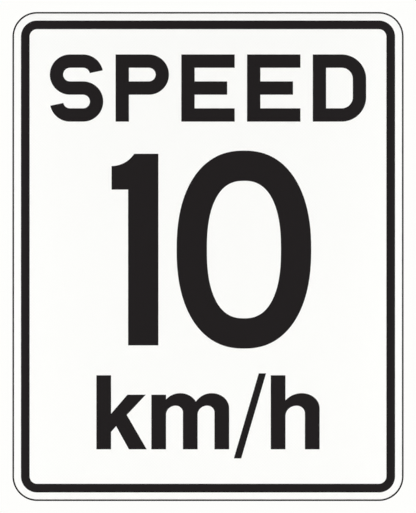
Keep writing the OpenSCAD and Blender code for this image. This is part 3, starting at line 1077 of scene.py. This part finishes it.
class SIGN_OT_washers(bpy.types.Operator):
    """Make the stamped flat washers and the split spring washers"""

    bl_idname = "sign.washers"
    bl_label = "Washers"

    def execute(self, context):
        settings = context.scene.sign_fasteners
        zinc = material("zinc_washers", zinc_surface, settings)
        bore = settings.washer_bore / 2
        front_round = 0.15 * MM
        bore_round = 0.25 * MM
        split_middle = 35
        steps = 72
        closed_ring = range(0, 360, 5)
        split_ring = [split_middle + settings.split / 2 + (360 - settings.split) * i / steps
                      for i in range(steps + 1)]
        for side in SIDES:
            for kind, back_round in (("flat", 0.35 * MM), ("spring", 0.3 * MM)):
                low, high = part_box(f"{side}_{kind}_washers")
                outer = (high.z - low.z) / 2
                edges = [(bore, low.y, front_round), (outer, low.y, front_round),
                         (outer, high.y, back_round), (bore, high.y, bore_round)]
                section = [(p.x, p.y) for p in rounded(edges, 20)]
                bm = bmesh.new()
                for centre in bolt_centres(side).values():
                    if kind == "flat":
                        add_spin(bm, lambda angle: section, closed_ring, centre)
                    else:
                        add_spin(bm, lambda angle: section, split_ring, centre, wrap=False)
                washers = finished(f"{side}_{kind}_washer_pair", bm, zinc)
                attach(washers, f"{side}_clamp_jaw")
                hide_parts(f"{side}_{kind}_washers")
        return {"FINISHED"}


class SIGN_OT_studio(bpy.types.Operator):
    """Make the floor, the soft lights, the plain surround and the camera"""

    bl_idname = "sign.studio"
    bl_label = "Studio"

    def execute(self, context):
        settings = context.scene.sign_studio
        self.make_floor(settings)
        self.make_surround(context, settings)
        for name, place, size, power in (
            ("front_left_light", (-2.6, -2.6, 0.15), (2.2, 2.6), settings.key),
            ("front_right_light", (2.6, -2.6, 0.15), (2.2, 2.6), settings.key),
            ("back_left_light", (-2.2, 2.0, 2.2), (1.0, 1.0), settings.back),
            ("back_right_light", (3.0, 1.6, 0.4), (1.2, 2.6), 0.6 * settings.back),
            ("top_light", (0, 0.6, 3.2), (2.4, 2.4), settings.top),
        ):
            self.make_light(name, Vector(place), size, power)
        self.make_camera(context, settings)
        context.scene.view_settings.view_transform = "Standard"
        context.scene.view_settings.look = "None"
        return {"FINISHED"}

    def make_floor(self, settings):
        bm = bmesh.new()
        bmesh.ops.create_circle(bm, cap_ends=True, segments=128, radius=settings.floor_radius)
        bmesh.ops.translate(bm, verts=bm.verts, vec=(0, 0, -settings.floor_drop))
        floor = finished("floor", bm, material("pale_floor", floor_surface, settings))

    def make_surround(self, context, settings):
        """White where the camera looks at it, and dimmer as a light."""
        world = bpy.data.worlds.new("surround")
        world.use_nodes = True
        context.scene.world = world
        shader = Shader(world.node_tree)
        seen = shader.node("LightPath", output="Is Camera Ray")
        height = shader.along((0, 0, 1), "Generated").step(-0.1, 0.9)
        strength = settings.horizon + (settings.zenith - settings.horizon) * height
        glow = shader.node("Background", None, {"Color": (1, 1, 1, 1), "Strength": strength})
        paper = shader.node("Background", None, {"Color": (*settings.paper, 1), "Strength": 1.0})
        mixed = shader.node("MixShader", None, {0: seen, 1: glow, 2: paper})
        shader.add("OutputWorld", None, {"Surface": mixed})

    def make_light(self, name, place, size, power):
        """A soft rectangular light that looks at the origin."""
        data = bpy.data.lights.new(name, "AREA")
        data.shape = "RECTANGLE"
        data.size, data.size_y = size
        data.energy = power
        light = bpy.data.objects.new(name, data)
        light.location = place
        light.rotation_euler = (-place).to_track_quat("-Z", "Y").to_euler()
        light.visible_camera = False
        bpy.context.scene.collection.objects.link(light)

    def make_camera(self, context, settings):
        """Square to the face and level with its centre."""
        face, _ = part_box("border")
        data = bpy.data.cameras.new("camera")
        data.lens = settings.lens
        data.sensor_fit = "AUTO"
        data.sensor_width = settings.sensor
        data.clip_end = 60
        camera = bpy.data.objects.new("camera", data)
        distance = settings.picture_height * settings.lens / settings.sensor
        camera.location = (0, face.y - distance, 0)
        camera.rotation_euler = (math.pi / 2, 0, 0)
        bpy.context.scene.collection.objects.link(camera)
        context.scene.camera = camera


class SIGN_PT_panel(bpy.types.Panel):
    """Lists the sign's sizes, colours and makers"""

    bl_idname = "SIGN_PT_panel"
    bl_label = "Road Sign"
    bl_space_type = "VIEW_3D"
    bl_region_type = "UI"
    bl_category = "Sign"

    def draw(self, context):
        for title, owner, settings, makers in GROUPS:
            box = self.layout.box()
            box.label(text=title)
            for name in settings.__annotations__:
                box.prop(getattr(context.scene, owner), name)
            for maker in makers:
                box.operator(maker.bl_idname)


GROUPS = (
    ("Plate", "sign_plate", PlateSettings, (SIGN_OT_plate, SIGN_OT_legend)),
    ("Rails", "sign_rails", RailSettings, (SIGN_OT_rails, SIGN_OT_end_caps)),
    ("Clamps", "sign_clamps", ClampSettings, (SIGN_OT_saddles, SIGN_OT_jaws)),
    ("Fasteners", "sign_fasteners", FastenerSettings,
     (SIGN_OT_bolts, SIGN_OT_nuts, SIGN_OT_washers)),
    ("Studio", "sign_studio", StudioSettings, (SIGN_OT_studio,)),
)

CLASSES = (
    *(settings for _, _, settings, _ in GROUPS),
    *(maker for _, _, _, makers in GROUPS for maker in makers),
    SIGN_PT_panel,
)


def register():
    for cls in CLASSES:
        bpy.utils.register_class(cls)
    for _, owner, settings, _ in GROUPS:
        setattr(bpy.types.Scene, owner, PointerProperty(type=settings))


def unregister():
    for _, owner, _, _ in GROUPS:
        delattr(bpy.types.Scene, owner)
    for cls in reversed(CLASSES):
        bpy.utils.unregister_class(cls)


def main():
    register()
    bpy.ops.sign.studio()
    bpy.ops.sign.plate()
    bpy.ops.sign.legend()
    bpy.ops.sign.rails()
    bpy.ops.sign.end_caps()
    bpy.ops.sign.saddles()
    bpy.ops.sign.jaws()
    bpy.ops.sign.bolts()
    bpy.ops.sign.nuts()
    bpy.ops.sign.washers()


if __name__ == "__main__":
    main()
